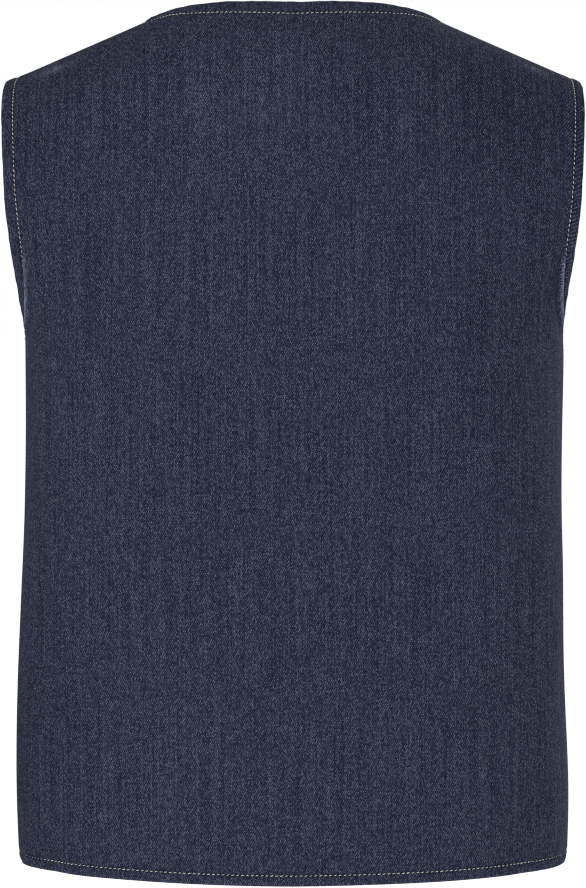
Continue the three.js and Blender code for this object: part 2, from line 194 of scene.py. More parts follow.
# What the sewing does to the cloth near its edges
edges = {
    "openRound": 1.15,         # the fold of a turned edge
    "seamRound": 0.5,          # the cloth's turn into a seam
    "hemStitch": 6.8,          # from an edge to its topstitching
    "armholeStitch": (7.2, 8.6),    # on the wearer's right and left
    "frontStitch": 6.5,
    "facingStitch": 36,
    "allowance": 2.6,          # from the topstitching to the inner edge of the turned cloth
    "groove": 0.42,            # how deep the topstitching pulls the cloth in
    "grooveWide": 1.1,
    "puff": 0.3,               # how far the band between edge and stitching stands out
    "pucker": 0.2,
    "waves": ((13.7, 0.9), (21.3, 2.3), (8.9, 4.1), (34.1, 5.2)),    # pitch and phase of a pucker's waves
    "wavesHigh": 2.2,          # about how high they come together
    "puckerReach": 11,
    "step": 0.35,              # half the width over which the turned cloth ends
    "slack": 0.2,              # how much nearer than its stitching to the front's edge a line may begin
    "beyond": 99.0,            # stands for no edge near
    "leastSkew": 0.05,
    "topSkew": 0.8,            # how far distances from the top go by the slant of the grid there
    "armholeRows": (0.985, 1.015),    # over these rows a side seam's edge becomes an armhole's
    "neckColumns": (0.488, 0.504),    # over these columns the neck's edge becomes a shoulder seam
    "steps": (0, 0.12, 0.35, 0.7, 1.15, 1.8, 2.6, 3.5, 4.4, 5.2, 5.8, 6.3, 6.8, 7.3, 7.8, 8.3, 8.8, 9.3,
              9.8, 10.3, 10.8, 11.3, 11.9, 12.7, 14),
    "cell": 3.3,
    "follow": 1.5,             # between the places of a line that is laid closely on the cloth
    "underarm": 1.06,          # the row where an armhole's stitching turns to the side seam
    # added places that carry a line on to a seam, as (first share of the way, last share, how many)
    "toUnderarm": (0.05, 0.85, 5),
    "toShoulder": (0.15, 1, 8),
    "shoulderShort": 0.3,      # rows from the last of them to the panel's top
    "curl": {"deep": 3.0, "high": 8.5, "from": 0.84},    # the hem turns in a little at the side seams
    # low on the armhole the edge rolls under, so that a ridge of cloth hides its stitching
    "roll": {"high": 2.3, "past": 1.25, "wide": 1.1, "foot": (1.02, 1.3), "head": (1.58, 1.68)},
    # stitches sink into the cloth by these shares near the shoulder seam, the side seam and in the roll
    "sunk": {
        "shoulder": 0.82, "shoulderReach": 24, "side": 0.58, "sideColumns": (0.68, 0.88),
        "neckEnd": 0.45, "neckColumns": (0.38, 0.48), "roll": 0.5,
    },
}


ends = ("first", "last")    # a panel's first and last column, the first on the wearer's right


def armholeStitch(end):
    return edges["armholeStitch"][ends.index(end)]


def levelAt(key, z):    # a column of levels at any height, on a smooth curve through its rows
    rows, values = np.array(levels["z"], float), np.array(levels[key], float)
    before, after = np.arange(len(rows)) - 1, np.arange(len(rows)) + 1
    before[0], after[-1] = 0, len(rows) - 1
    slope = (values[after] - values[before]) / (rows[after] - rows[before])
    i = np.clip(np.searchsorted(rows, z, side="right") - 1, 0, len(rows) - 2)
    gap = rows[i + 1] - rows[i]
    return hermite(values[i], slope[i] * gap, values[i + 1], slope[i + 1] * gap, (z - rows[i]) / gap)


# For each height, the places at even shares of the way round a quarter of the body
def sectionTable(face):
    z = np.arange(sections["low"], sections["high"], 1.0)
    turn = np.linspace(0, math.pi / 2, sections["turns"])
    x = levelAt("half", z)[:, None] * np.sin(turn) ** (2 / face["square"])
    y = levelAt(face["depth"], z)[:, None] * np.clip(np.cos(turn), 0, 1) ** (2 / face["square"])
    length = np.zeros_like(x)
    length[:, 1:] = np.cumsum(np.hypot(np.diff(x, axis=1), np.diff(y, axis=1)), axis=1)
    share = np.linspace(0, 1, sections["shares"])
    even = np.empty((len(z), len(share), 2))
    for row in range(len(z)):
        reached = length[row] / length[row, -1]
        even[row, :, 0] = np.interp(share, reached, x[row])
        even[row, :, 1] = np.interp(share, reached, y[row]) * face["side"]
    return {"low": z[0], "places": even, "length": length[:, -1]}


def quarterLength(face, z):
    table = face["table"]
    return np.interp(z, table["low"] + np.arange(len(table["length"])), table["length"])


def tubePoint(face, u, z):
    places = face["table"]["places"]
    u, z = np.broadcast_arrays(np.clip(u, 0, 1), z)
    row = np.clip(z - face["table"]["low"], 0, places.shape[0] - 1.001)
    column = u * (places.shape[1] - 1)
    i, j = row.astype(int), np.minimum(column.astype(int), places.shape[1] - 2)
    a, b = (row - i)[..., None], (column - j)[..., None]
    low = mix(places[i, j], places[i, j + 1], b)
    high = mix(places[i + 1, j], places[i + 1, j + 1], b)
    return np.concatenate([mix(low, high, a), z[..., None]], axis=-1)


def outShare(face, u):
    half = levelAt("half", np.array(float(face["shelf"])))
    return mix(u, tubePoint(face, u, face["shelf"])[..., 0] / half, vest["outPull"])


def ridgePoint(face, u):
    inner = outShare(face, u) / outShare(face, np.array(vest["neckShare"]))
    neck = np.stack([
        vest["neckHalfWidth"] * inner,
        np.full_like(inner, vest["shoulderSeamY"]),
        face["peak"] * (1 - inner**2),
    ], axis=-1)
    out = np.clip((u - vest["neckShare"]) / (1 - vest["neckShare"]), 0, 1) ** vest["shoulderPull"]
    corner = np.array([vest["neckHalfWidth"], vest["shoulderSeamY"], 0.0])
    shoulder = mix(corner, np.array(vest["shoulderTip"], float), out[..., None])
    return np.where((u < vest["neckShare"])[..., None], neck, shoulder)


def insideNeck(face, place):    # more than 0 inside the neck's opening, and less on the cloth
    out = np.minimum(1, place[..., 0] / vest["neckHalfWidth"])
    if face is front:
        return place[..., 2] + face["drop"] * (1 - out ** face["neckRound"])
    edge = (1 - out ** face["neckRound"]) ** (1 / face["neckRound"])
    return edge - (place[..., 1] - vest["shoulderSeamY"]) / (face["reach"] - vest["shoulderSeamY"])


def span(start, leave, end, arrive, reach, t):
    length = reach * np.linalg.norm(end - start, axis=-1, keepdims=True)
    return hermite(start, leave * length, end, arrive * length, t)


def archPoint(columns, t):    # from the middle of the armhole, t of the way to the ridge
    ways = columns["pass"], columns["top"], columns["arrive"]
    return span(columns["middle"], *ways, vest["archReach"], t)


def makeColumns(face, u):    # the points that each column of a panel passes, and the ways it heads there
    side = face["side"]
    hemZ = mix(face["hemCentre"], face["hemSide"], u ** vest["hemRise"])
    fromSide = (1 - u) * quarterLength(face, face["shelf"])
    nearSide = np.exp(-fromSide / vest["corner"])
    shelfZ = mix(face["shelf"], vest["underarmZ"], nearSide)
    shelf = tubePoint(face, u, shelfZ)
    up = unit(shelf - tubePoint(face, u, shelfZ - vest["lookBelow"]))
    inward = unit(tubePoint(face, u - vest["lookIn"], shelfZ) - shelf)
    across = outShare(face, u)
    middle = np.stack([
        face["edgeX"] * across,
        side * mix(face["edge"], face["centre"], 1 - across**2),
        mix(face["centreZ"], face["edgeZ"], smooth(u / vest["levelOut"])),
    ], axis=-1)
    heading = np.stack([vest["spread"] * u, side * face["lean"] * (1 - u), np.ones_like(u)], axis=-1)
    top = ridgePoint(face, u)
    top[..., 1] += side * vest["seamGap"] / 2
    tuckFrom, tuckSlope = vest["tipTuck"]
    tuck = tuckSlope * eased(u, tuckFrom, 1)
    arrive = np.stack([-tuck, np.full_like(u, -side), np.zeros_like(u)], axis=-1)
    columns = {
        "hemZ": hemZ, "shelfZ": shelfZ, "shelf": shelf, "leave": unit(mix(up, inward, nearSide[:, None])),
        "middle": middle, "pass": unit(heading), "top": top, "arrive": unit(arrive),
    }
    low, high = np.zeros_like(u), np.ones_like(u)
    for _ in range(halvings):
        t = (low + high) / 2
        onCloth = insideNeck(face, archPoint(columns, t[:, None])) < 0
        low, high = np.where(onCloth, t, low), np.where(onCloth, high, t)
    columns["end"] = np.where(u < vest["neckShare"], low, 1.0)
    return columns


# A panel's outer surface without its folds, rows by columns. v is 0 at the hem, 1 where the body's tube
# ends, 2 at the middle of the armhole and 3 at the top edge.
def smoothSurface(face, us, vs):
    columns = makeColumns(face, np.abs(us))
    low, leave, high, arrive = (columns[key] for key in ("shelf", "leave", "middle", "pass"))
    rows = []
    for v in vs:
        if v <= 1:
            row = tubePoint(face, np.abs(us), mix(columns["hemZ"], columns["shelfZ"], v))
        elif v <= 2:
            row = span(low, leave, high, arrive, vest["spanReach"], v - 1)
        else:
            row = archPoint(columns, ((v - 2) * columns["end"])[:, None])
        row[:, 0] *= np.where(us < 0, -1, 1)
        rows.append(row)
    return np.stack(rows)


def foldHeight(face, around, z):
    height = np.zeros_like(z)
    for at, lean, wide, high, foot, head, crest in face["folds"]:
        rise = (z - foot) / (head - foot)
        swell = smooth(np.minimum(rise / crest, (1 - rise) / (1 - crest)))
        height += high * swell * bump((around - at - lean * rise) / wide)
    return height


def creaseHeight(face, around, z):    # each fades at both its ends, with a sharper middle than a fold
    height = np.zeros_like(z)
    for x0, z0, x1, z1, wide, high in face["creases"]:
        length = math.hypot(x1 - x0, z1 - z0)
        alongX, alongZ = (x1 - x0) / length, (z1 - z0) / length
        along = ((around - x0) * alongX + (z - z0) * alongZ) / length
        across = (around - x0) * alongZ - (z - z0) * alongX
        bow = creaseBow * length * (along - along**2)
        height += high * smooth(4 * (along - along**2)) / (1 + ((across - bow) / wide) ** 2) ** 2
    return height


def armholeDip(u, v):
    dip = vest["armholeDip"]
    rise = np.where(v > 1, v - 1, (v - 1) * vest["tube"] / vest["yoke"])
    across = ((1 - np.abs(u)) * vest["round"] - dip["fromEdge"]) / dip["wide"]
    return dip["deep"] * bump((rise - dip["at"]) / dip["spread"]) * bump(across)


def wander(along, seed):    # an uneven wave about 0, for puckers that are never alike
    waves = (np.sin(along / pitch * 2 * math.pi + phase * (seed + 1)) for pitch, phase in edges["waves"])
    return sum(waves) / edges["wavesHigh"]


def spread(length, atStart, atEnd):    # distances along a length, crowded at the ends that are asked for
    low = np.array(edges["steps"]) if atStart else np.array([0.0])
    high = length - np.array(edges["steps"])[::-1] if atEnd else np.array([float(length)])
    count = max(2, round((high[0] - low[-1]) / edges["cell"]))
    return np.concatenate([low, np.linspace(low[-1], high[0], count + 1)[1:-1], high])


def neckStitch(face, u):    # how far below the neck's edge its stitching runs
    atCentre, atEnd = face["neckStitch"]
    return mix(atCentre, atEnd, eased(np.abs(u), *vest["stitchTurn"]))


def panelRows():
    tube = spread(vest["tube"], True, False) / vest["tube"]
    yoke = 1 + spread(vest["yoke"], False, False)[1:] / vest["yoke"]
    arch = 2 + spread(vest["yoke"], False, True)[1:] / vest["yoke"]
    return np.concatenate([tube, yoke, arch])


# Distances from a panel's edges, measured on the cloth, for every point of its grid
def edgeDistances(places, us, vs):
    stepUp = np.linalg.norm(np.diff(places, axis=0), axis=-1)
    stepAcross = np.linalg.norm(np.diff(places, axis=1), axis=-1)
    fromHem = np.zeros(places.shape[:2])
    fromHem[1:] = np.cumsum(stepUp, axis=0)
    fromFirst = np.zeros(places.shape[:2])
    fromFirst[:, 1:] = np.cumsum(stepAcross, axis=1)
    upward = unit(np.gradient(places, vs, axis=0))
    onward = unit(np.gradient(places, us, axis=1))
    skew = np.sqrt(np.clip(1 - np.sum(upward * onward, axis=-1) ** 2, edges["leastSkew"], 1))
    fromTop = (fromHem[-1] - fromHem) * mix(skew, skew[-1], edges["topSkew"])
    fromLast = (fromFirst[:, -1:] - fromFirst) * skew[:, -1:]
    return {
        "hem": fromHem * skew[:1], "top": fromTop, "first": fromFirst * skew[:, :1], "last": fromLast,
        "up": fromHem, "across": fromFirst,
    }


# Where each point of a panel lies on the flat cloth, mm: its grain runs straight up
def flatPlaces(places, us, vs, side):
    centre = np.argmin(np.abs(us))
    across = np.zeros(places.shape[:2])
    across[:, 1:] = np.cumsum(np.linalg.norm(np.diff(places[..., :2], axis=1), axis=-1), axis=1)
    across -= across[:, centre:centre + 1]
    middle = np.searchsorted(vs, 2)
    for row in range(middle + 1, len(vs)):
        across[row] = np.interp(places[row, :, 0], places[middle, :, 0], across[middle])
    up = np.zeros_like(across)
    depth, rise = np.diff(places[..., 1], axis=0), np.diff(places[..., 2], axis=0)
    share = mix(1, vest["weaveDepth"], eased(vs[1:, None], *vest["weaveRows"]))
    up[1:] = np.cumsum(np.hypot(depth * share, rise), axis=0)
    return np.stack([across * -side, up + places[:1, :, 2]], axis=-1)


# Each edge of a panel, as (name, lengths along it, whether it is sewn, from it to its stitching)
def panelEdges(face, sides, far, uu, vv):
    one = np.ones_like(uu)
    neck = 1 - eased(np.abs(uu), *edges["neckColumns"])
    found = [("hem", far["across"], one, edges["hemStitch"])]
    found.append(("top", far["across"], neck, neckStitch(face, uu)))
    for end, kind in zip(ends, sides):
        if kind == "side":
            found.append((end, far["up"], eased(vv, *edges["armholeRows"]), armholeStitch(end)))
        else:
            found.append((end, far["up"], one, edges["frontStitch"]))
    return found


def fullnessOf(far, sides, uu, rolled):    # how full the stitches of each edge are, at each point
    sunk = edges["sunk"]
    fullness = {
        "hem": 1 - sunk["side"] * eased(np.abs(uu), *sunk["sideColumns"]),
        "top": 1 - sunk["neckEnd"] * eased(np.abs(uu), *sunk["neckColumns"]),
    }
    nearShoulder = 1 - smooth(far["top"] / sunk["shoulderReach"])
    for end, kind in zip(ends, sides):
        fullness[end] = np.ones_like(uu)
        if kind == "side":
            fullness[end] = (1 - sunk["shoulder"] * nearShoulder) * (1 - sunk["roll"] * rolled)
    return fullness


def rollCrest(far, sides, rolled):    # the ridge that hides an armhole's stitching low down
    roll = edges["roll"]
    crest = np.zeros_like(rolled)
    for end, kind in zip(ends, sides):
        if kind == "side":
            crest += rolled * bump((far[end] - armholeStitch(end) - roll["past"]) / roll["wide"])
    return crest


def hemCurl(fromHem, uu):
    curl = edges["curl"]
    bend = np.clip(1 - fromHem / curl["high"], 0, 1) ** 2
    return curl["deep"] * bend * eased(np.abs(uu), curl["from"], 1)


def doubleCloth(cloth, past, shown=1):    # two layers as far as past is below 0
    turned = 1 - eased(past, -edges["step"], edges["step"])
    cloth["thick"] = np.maximum(cloth["thick"], mix(vest["cloth"], vest["turned"], turned))
    cloth["inside"] = np.minimum(cloth["inside"], 1 - shown * turned)


def turnEdge(cloth, distance, along, sewn, stitchAt, seed):    # rounds an edge, turns it in and sews it
    radius = mix(edges["seamRound"], edges["openRound"], sewn)
    into = np.clip(distance, 0, radius)
    cloth["round"] = np.maximum(cloth["round"], radius - np.sqrt(radius**2 - (radius - into) ** 2))
    doubleCloth(cloth, distance - stitchAt - edges["allowance"], sewn)
    pull = sewn * bump((distance - stitchAt) / edges["grooveWide"])
    puff = sewn * np.sin(np.clip(distance / stitchAt, 0, 1) * math.pi)
    waved = sewn * wander(along, seed) * bump(distance / edges["puckerReach"])
    cloth["height"] += edges["puff"] * puff - edges["groove"] * pull + edges["pucker"] * waved
    closer = (distance < cloth["fromEdge"]) & (sewn > 0.5)
    for key, value in (("sewnAlong", along), ("sewnLine", distance - stitchAt), ("fromEdge", distance)):
        cloth[key] = np.where(closer, value, cloth[key])


# Builds one panel: a grid of outer places and one of inner places, with what the finish needs at each point.
# sides says what the first and the last column are: a side edge, or the front's own edge. hand is 0 for the
# back, 1 for the wearer's left front and -1 for the right one, which laps over it.
def panelOf(face, us, sides, hand):
    vs = panelRows()
    plain = smoothSurface(face, us, vs)
    away = np.cross(np.gradient(plain, us, axis=1), np.gradient(plain, vs, axis=0))
    outward = unit(away) * -face["side"]
    uu, vv = np.meshgrid(us, vs)
    z = plain[..., 2]
    around = uu * quarterLength(face, np.minimum(z, face["shelf"]))
    far = edgeDistances(plain, us, vs)
    rolled = eased(vv, *edges["roll"]["foot"]) * (1 - eased(vv, *edges["roll"]["head"]))
    crest = rollCrest(far, sides, rolled)
    height = foldHeight(face, around, z) + creaseHeight(face, around, z) - armholeDip(uu, vv)
    height += edges["roll"]["high"] * crest - hemCurl(far["hem"], uu)

    none, one = np.zeros_like(z), np.ones_like(z)
    beyond = edges["beyond"] * one
    cloth = {
        "height": height, "round": none, "thick": vest["cloth"] * one, "inside": one,
        "sewnAlong": none, "sewnLine": beyond, "fromEdge": beyond,
    }
    for number, (name, along, sewn, stitchAt) in enumerate(panelEdges(face, sides, far, uu, vv)):
        turnEdge(cloth, far[name], along, sewn, stitchAt, number + hand + 2)
    if hand:
        past = (hand * plain[..., 0] - vest["buttonStand"]) / vest["lapFade"]
        cloth["height"] -= hand * vest["lapRise"] * (1 - smooth(past))
        doubleCloth(cloth, far["first" if hand > 0 else "last"] - vest["facingWidth"])

    height, rounded, thick = cloth["height"], cloth["round"], cloth["thick"]
    outer = plain + outward * (height - rounded)[..., None]
    inner = plain + outward * (height - thick + np.minimum(rounded, thick / 2))[..., None]
    return {
        "face": face, "us": us, "vs": vs, "outer": outer, "inner": inner, "outward": outward, "far": far,
        "weave": flatPlaces(plain, us, vs, face["side"]), "fullness": fullnessOf(far, sides, uu, rolled),
        "crest": crest, **{key: cloth[key] for key in ("inside", "sewnAlong", "sewnLine", "fromEdge")},
    }


def meshFrom(name, points, faces):
    mesh = bpy.data.meshes.new(name)
    mesh.from_pydata([tuple(p) for p in np.asarray(points) * mm], [], [tuple(f) for f in faces])
    mesh.validate()
    piece = bpy.data.objects.new(name, mesh)
    bpy.context.scene.collection.objects.link(piece)
    return piece


def vertexValue(mesh, name, values):    # a number at each vertex, that a finish reads by its name
    layer = mesh.attributes.new(name, "FLOAT", "POINT")
    layer.data.foreach_set("value", np.asarray(values, np.float32).ravel())


def sewPanel(name, panel):
    rows, columns = panel["outer"].shape[:2]
    points = np.concatenate([panel["outer"].reshape(-1, 3), panel["inner"].reshape(-1, 3)])
    at = np.arange(2 * rows * columns).reshape(2, rows, columns)

    def cells(grid):
        a, b, c, d = grid[:-1, :-1], grid[:-1, 1:], grid[1:, 1:], grid[1:, :-1]
        return np.stack([a.ravel(), b.ravel(), c.ravel(), d.ravel()], axis=1)

    outside, lining = at[0], at[1]
    rim = [
        np.stack([lining[0], outside[0]]), np.stack([outside[-1], lining[-1]]),
        np.stack([outside[:, 0], lining[:, 0]]), np.stack([lining[:, -1], outside[:, -1]]),
    ]
    faces = np.concatenate([cells(outside), cells(lining)[:, ::-1], *(cells(strip) for strip in rim)])
    if panel["face"]["side"] > 0:
        faces = faces[:, ::-1]
    piece = meshFrom(name, points, faces)
    mesh = piece.data
    mesh.shade_smooth()
    weave = mesh.uv_layers.new(name="weave")
    which = np.empty(len(mesh.loops), np.int32)
    mesh.loops.foreach_get("vertex_index", which)
    both = np.tile(panel["weave"].reshape(-1, 2), (2, 1)) * mm
    weave.data.foreach_set("uv", both[which].astype(np.float32).ravel())
    vertexValue(mesh, "inside", np.concatenate([np.zeros(rows * columns), panel["inside"].ravel()]))
    for key in ("sewnAlong", "sewnLine", "fromEdge", "crest"):
        vertexValue(mesh, key, np.tile(panel[key].ravel(), 2))
    return piece


# A node's output in a shader or a node group. Arithmetic on it adds Math nodes.
class Signal:
    def __init__(self, tree, socket):
        self.tree, self.socket = tree, socket

    def maths(self, operation, *others):
        values = dict(enumerate((self, *others)))
        return self.tree.add("ShaderNodeMath", {"operation": operation}, values)

    def __add__(self, other):
        return self.maths("ADD", other)

    def __sub__(self, other):
        return self.maths("SUBTRACT", other)

    def __rsub__(self, other):
        return self * -1 + other

    def __mul__(self, other):
        return self.maths("MULTIPLY", other)

    def __truediv__(self, other):
        return self.maths("DIVIDE", other)

    def __pow__(self, other):
        return self.maths("POWER", other)

    __radd__, __rmul__ = __add__, __mul__

    def limited(self):    # between 0 and 1
        return self.maths("MINIMUM", 1.0).maths("MAXIMUM", 0.0)

    def eased(self, low, high):    # 0 at low to 1 at high, smoothly
        settings = {"interpolation_type": "SMOOTHSTEP"}
        return self.tree.add("ShaderNodeMapRange", settings, {0: self, 1: low, 2: high, 3: 0.0, 4: 1.0})

    def hump(self, wide):    # 1 where the signal is 0, falling to nothing on both sides
        return ((self / wide) ** 2 * -1).maths("EXPONENT")


class Tree:
    def __init__(self, group):
        self.group = group
        group.nodes.clear()

    def add(self, kind, settings=None, values=None, out=0):
        node = self.group.nodes.new(kind)
        for name, value in (settings or {}).items():
            if name == "stops":
                self.setStops(node.color_ramp.elements, value)
            else:
                setattr(node, name, value)
        for name, value in (values or {}).items():
            if isinstance(value, Signal):
                self.group.links.new(value.socket, node.inputs[name])
            else:
                node.inputs[name].default_value = value
        return Signal(self, node.outputs[out]) if len(node.outputs) else node

    def setStops(self, elements, stops):
        while len(elements) < len(stops):
            elements.new(1.0)
        for element, (at, colour) in zip(elements, stops):
            element.position, element.color = at, colour

    def attribute(self, name):
        return self.add("ShaderNodeAttribute", {"attribute_name": name}, out=2)

    def place(self, x, y, z=0.0):
        return self.add("ShaderNodeCombineXYZ", values={0: x, 1: y, 2: z})

    def noise(self, x, y, detail):    # about 0, from -0.5 to 0.5
        values = {"Vector": self.place(x, y), "Scale": 1.0, "Detail": detail}
        return self.add("ShaderNodeTexNoise", {"noise_dimensions": "2D"}, values) - 0.5

    def chance(self, x, y):    # a number from 0 to 1 that is the cell's own
        return self.add("ShaderNodeTexWhiteNoise", {"noise_dimensions": "2D"}, {"Vector": self.place(x, y)})

    def blend(self, factor, a, b):
        return self.add("ShaderNodeMix", {"data_type": "RGBA"}, {0: factor, 6: a, 7: b}, out=2)

    def ramp(self, factor, *stops):
        return self.add("ShaderNodeValToRGB", {"stops": stops}, {0: factor})


def newMaterial(name, build):
    material = bpy.data.materials.new(name)
    material.use_nodes = True
    tree = Tree(material.node_tree)
    surface = build(tree)
    tree.add("ShaderNodeOutputMaterial", values={0: surface})
    return material


# The denim: a right-hand twill, whose dark warp ends pass over three pale weft picks and under the next
denim = {
    "endPitch": 0.348, "pickPitch": 0.65, "repeat": 4,    # mm, mm and picks
    # the weft's specks and the warp's floats: how much of the repeat each takes, and what it adds
    "speckWide": 0.12, "speck": 0.07, "speckChance": 2.2, "speckPower": 2.1,
    "floatWide": 0.22, "float": 1.8, "wave": 0.1, "grain": 0.5,
    # unevenness, as (mm across, mm up, detail, amount)
    "waver": (9, 38, 2, 1.1),    # this one moves the warp sideways
    "streak": (1, 110, 1, 0.86),
    "slub": (19, 1.6, 1, 0.22),
    "band": (6.5, 140, 1, 0.13),
    "mottle": (26, 34, 3, 0.08),
    "edgePatches": (5, 3, 2, 1),
    "highlightPatches": (6, 3, 2, 1),
    "puckers": (3.4, 9, 2, 0.45),
    "mean": 0.17, "gain": 1.45, "level": 0.86, "most": 6.0,
    # brightness, where 1 is the cloth's own, and colour
    "shades": (
        (0.1, srgb(6, 7, 16)), (0.35, srgb(18, 21, 36)), (0.5, srgb(23.2, 26.6, 41.8)),
        (1, srgb(36.8, 40.2, 55.4)), (2, srgb(54.8, 58.3, 73.6)), (4, srgb(79, 82.6, 98)),
        (6, srgb(96.8, 100.5, 116)),
    ),
    "reverseDark": srgb(44, 52, 78), "reversePale": srgb(150, 158, 176), "reverse": 0.55, "reverseSwing": 0.5,
    "worn": 0.6,               # the least that a patch of edge wear and of painted highlight comes to, beside its unevenness
    # wear at the turned edges, wear with a painted highlight on the armhole ridge's crest, and a painted
    # highlight under the shoulder seams
    "edgeAt": 0.5, "edgeWide": 1.3, "edgeWear": 0.25, "crestWearAndHighlight": 1.5, "shoulderHighlight": 1.1,
    # painted shade in the groove along the stitching
    "stitchWide": 1.2, "stitchShade": 0.35, "puckerReach": 9,
    "broadShadingFrom": (0, 20), "highlightsFrom": (-4, 2),    # from y to y, over which each comes in
    "roughness": 0.86, "specular": 0.02, "relief": 0.05,
}

# Painted highlights under the back's shoulder seams, where the cloth turns over, as (from x, from z, to x, to
# z, wide)
highlightStreaks = ((171, -38, 144, -29, 2.6), (-151, -30, -165, -36, 2.2))

# Broad painted shade and painted light on the back, where the cloth is a little darker or lighter, as (x, z,
# wide, high, change)
broadShading = (
    (180, -475, 34, 95, -0.14),
    (170, -95, 28, 30, -0.08),
    (-148, -70, 48, 42, -0.15),
    (-118, -200, 14, 60, -0.08),
    (44, -58, 44, 30, 0.11),
    (76, -490, 56, 80, 0.05),
)


def onVest(t):    # where a point is on the vest, in mm
    at = t.add("ShaderNodeTexCoord", out=3)
    where = t.add("ShaderNodeSeparateXYZ", values={0: at}).socket.node
    return [Signal(t, where.outputs[i]) * 1000 for i in range(3)]


def uneven(t, key, x, y):
    across, up, detail, amount = denim[key]
    return t.noise(x / across, y / up, detail) * amount


# broad painted shade and painted light on the back
def broadlyShaded(t):
    x, y, z = onVest(t)
    total = 0.0
    for x0, z0, wide, high, change in broadShading:
        total = (x - x0).hump(wide) * (z - z0).hump(high) * change + total
    return total * y.eased(*denim["broadShadingFrom"])


# painted highlights under the shoulder seams, patchy along their length
def shoulderHighlights(t):
    x, y, z = onVest(t)
    total = 0.0
    for x0, z0, x1, z1, wide in highlightStreaks:
        length = math.hypot(x1 - x0, z1 - z0)
        alongX, alongZ = (x1 - x0) / length, (z1 - z0) / length
        along = (x - x0) * alongX + (z - z0) * alongZ - length / 2
        across = (x - x0) * alongZ - (z - z0) * alongX
        total = along.hump(length / 2) * across.hump(wide) + total
    return total * y.eased(*denim["highlightsFrom"]) * (uneven(t, "highlightPatches", x, z) + denim["worn"])


def twill(t, x, y):    # the weave's own shading and its relief, at a place on the cloth in mm
    end, pick = x / denim["endPitch"], y / denim["pickPitch"]
    own = end.maths("FLOOR")
    turn = (pick - own) / denim["repeat"]
    half = turn + 0.5
    speck = (turn.maths("FRACT") - 0.5).hump(denim["speckWide"])
    passing = (half.maths("FRACT") - 0.5).hump(denim["floatWide"])
    speckChance = t.chance(own, turn.maths("FLOOR")) ** denim["speckPower"]
    floatChance = t.chance(own, half.maths("FLOOR") + 0.5) - 0.5
    grain = t.chance(own, pick.maths("FLOOR") + 0.25) - 0.5
    ribs = ((end - pick) * (2 * math.pi / denim["repeat"])).maths("COSINE") * -1
    streak = uneven(t, "streak", x, y)
    shade = speck * (speckChance * denim["speckChance"] + denim["speck"]) + streak
    shade = shade + passing * floatChance * denim["float"] + ribs * denim["wave"] + grain * denim["grain"]
    return shade, ribs + passing * floatChance + streak


def denimFinish(t):
    weave = t.add("ShaderNodeUVMap", {"uv_map": "weave"})
    ways = t.add("ShaderNodeSeparateXYZ", values={0: weave}).socket.node
    x, y = (Signal(t, ways.outputs[i]) * 1000 for i in (0, 1))    # mm on the cloth
    along, line = t.attribute("sewnAlong"), t.attribute("sewnLine")
    fromEdge = t.attribute("fromEdge")

    x = x + uneven(t, "waver", x, y)
    shade, relief = twill(t, x, y)
    shade = shade + uneven(t, "slub", x, y) + uneven(t, "band", x, y) + uneven(t, "mottle", x, y)
    edgeWorn = (fromEdge - denim["edgeAt"]).hump(denim["edgeWide"])
    edgeWorn = edgeWorn * (uneven(t, "edgePatches", along, line) + denim["worn"])
    # wear at the turned edges, and wear with a painted highlight along the armhole ridge's crest
    shade = shade + edgeWorn * denim["edgeWear"] + t.attribute("crest") * denim["crestWearAndHighlight"]
    # painted highlights under the shoulder seams, and broad painted shade and painted light on the back
    shade = shade + shoulderHighlights(t) * denim["shoulderHighlight"] + broadlyShaded(t)
    # painted shade in the groove along each line of stitching
    shade = shade - line.hump(denim["stitchWide"]) * denim["stitchShade"] - denim["mean"]

    bright = (shade * denim["gain"]).maths("EXPONENT") * denim["level"]
    stops = [(at / denim["most"], colour) for at, colour in denim["shades"]]
    reverse = (denim["reverse"] - shade * denim["reverseSwing"]).limited()
    reverseColour = t.ramp(reverse, (0.0, denim["reverseDark"]), (1.0, denim["reversePale"]))
    colour = t.blend(t.attribute("inside"), t.ramp(bright / denim["most"], *stops), reverseColour)

    puckers = uneven(t, "puckers", along, line) * (fromEdge / -denim["puckerReach"]).maths("EXPONENT")
    height = (relief * denim["relief"] + puckers) * mm
    normal = t.add("ShaderNodeBump", values={"Strength": 1.0, "Distance": 1.0, "Height": height})
    return t.add("ShaderNodeBsdfPrincipled", values={
        "Base Color": colour, "Roughness": denim["roughness"], "Normal": normal,
        "Specular IOR Level": denim["specular"],
    })


# The topstitching's thread. cloud and ply are how fine its patches and its twist are.
thread = {
    "light": srgb(190, 188, 176), "dull": srgb(138, 136, 126), "roughness": 0.62, "sheen": 0.15,
    "cloud": 420.0, "dullTo": 0.3, "lightFrom": 0.7, "ply": 3200.0, "plyStrength": 0.6, "plyDeep": 0.12,
}

# How the stitches lie, in mm and degrees
topstitching = {
    "pitch": 3.1, "length": 2.15, "wide": 0.5, "rise": 0.34, "sink": 0.22, "slant": 13, "jitter": 0.1,
    "seed": 7,
}


def threadFinish(t):
    at = t.add("ShaderNodeTexCoord", out=3)
    cloud = t.add("ShaderNodeTexNoise", values={"Vector": at, "Scale": thread["cloud"], "Detail": 2.0})
    colour = t.ramp(cloud, (thread["dullTo"], thread["dull"]), (thread["lightFrom"], thread["light"]))
    ply = t.add("ShaderNodeTexNoise", values={"Vector": at, "Scale": thread["ply"], "Detail": 1.0})
    normal = t.add("ShaderNodeBump", values={
        "Strength": thread["plyStrength"], "Distance": thread["plyDeep"] * mm, "Height": ply,
    })
    return t.add("ShaderNodeBsdfPrincipled", values={
        "Base Color": colour, "Roughness": thread["roughness"], "Normal": normal,
        "Sheen Weight": thread["sheen"],
    })


